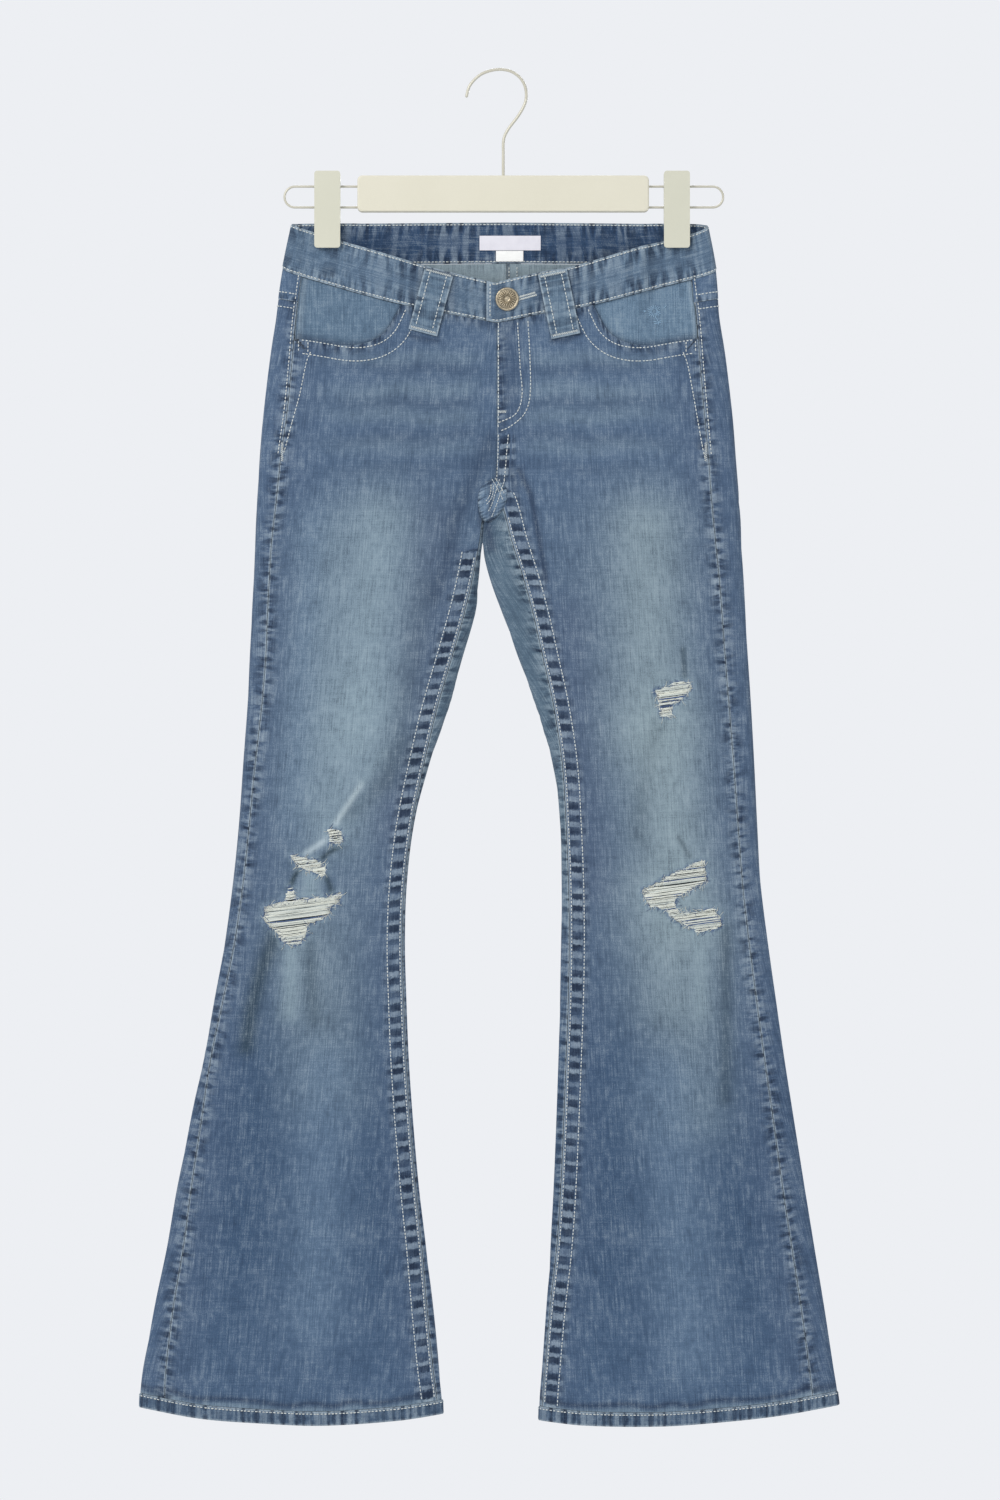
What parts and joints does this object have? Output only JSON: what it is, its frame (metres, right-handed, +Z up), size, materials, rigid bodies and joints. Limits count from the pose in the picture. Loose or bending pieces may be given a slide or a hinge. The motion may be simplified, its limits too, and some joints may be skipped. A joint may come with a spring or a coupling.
{
  "type": "flared jeans on a clip hanger",
  "caption": "Low-rise flared denim jeans with worn-through rips, hung flat by the waistband from a bar hanger with sliding clips and a wire hook.",
  "frame": {"origin": "inside of the hanger hook's top, where it bears on the nail or rail that holds it", "axes": "+Z up, the garment's front faces -Y, +X towards the wearer's left leg"},
  "size_m": [0.5957, 0.0245, 1.1543],
  "materials": {
    "denim": "washed blue twill, faded at thighs and knees",
    "zip_tape": "plain woven tape",
    "label": "smooth woven label, bare",
    "tab": "white satin tab, bare",
    "button_metal": "antique burnished",
    "hanger_plastic": "cream, satin",
    "hanger_steel": "bright drawn wire"
  },
  "bodies": {
    "root": {"front_panel_right": "denim", "front_panel_left": "denim", "back_panel_right": "denim", "back_panel_left": "denim", "back_yoke_right": "denim", "back_yoke_left": "denim", "pocket_facing_right": "denim", "pocket_facing_left": "denim", "back_pocket_right": "denim", "back_pocket_left": "denim", "hem_right": "denim", "hem_left": "denim", "waistband": "denim", "fly_facing": "denim", "zip": "zip_tape", "belt_loop_front_right": "denim", "belt_loop_front_left": "denim", "belt_loop_back_right": "denim", "belt_loop_back_centre": "denim", "belt_loop_back_left": "denim", "waist_label": "label", "size_tab": "tab", "button": "button_metal", "hanger_bar": "hanger_plastic", "hanger_wire_right": "hanger_steel", "hanger_wire_left": "hanger_steel", "hanger_hook": "hanger_steel", "clip_front_right": "hanger_plastic", "clip_back_right": "hanger_plastic", "clip_front_left": "hanger_plastic", "clip_back_left": "hanger_plastic"}
  },
  "joints": []
}
